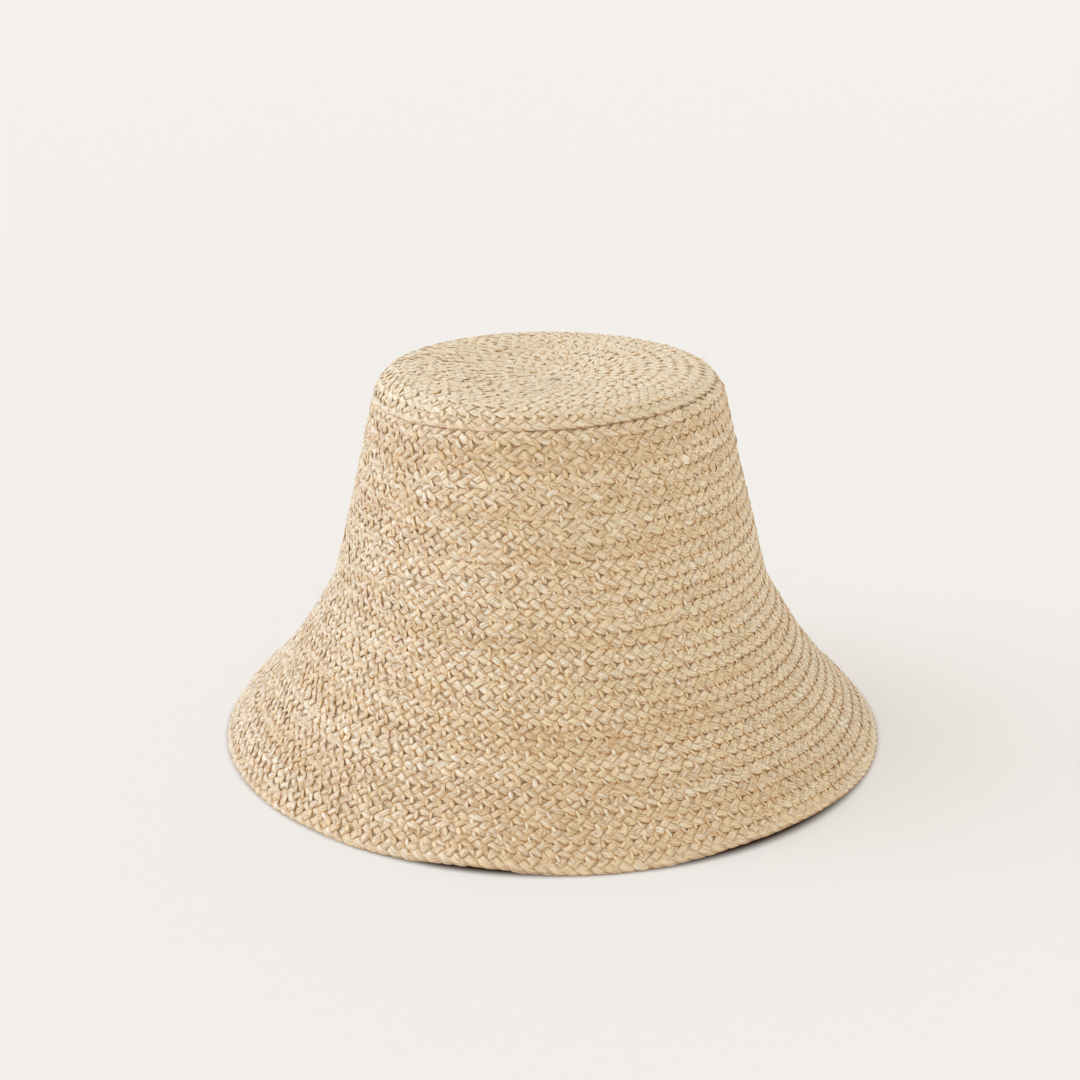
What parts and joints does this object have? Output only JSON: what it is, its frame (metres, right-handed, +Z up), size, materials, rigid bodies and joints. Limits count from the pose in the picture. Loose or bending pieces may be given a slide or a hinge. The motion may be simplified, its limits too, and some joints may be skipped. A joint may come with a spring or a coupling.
{
  "type": "raffia hat",
  "caption": "Bell-shaped sun hat sewn from narrow raffia braid: dished round tip, steep crown side, flared brim and a fuller edge braid, hollow and open below.",
  "frame": {"origin": "on the surface the hat stands on, under the middle of the round brim edge", "axes": "+Z up through the crown, -Y towards the front, +X to the right seen from the front"},
  "size_m": [0.2856, 0.2856, 0.1609],
  "materials": {
    "raffia": "matt"
  },
  "bodies": {
    "root": {"crown_tip": "raffia", "crown_side": "raffia", "brim": "raffia", "brim_edge": "raffia"}
  },
  "joints": []
}
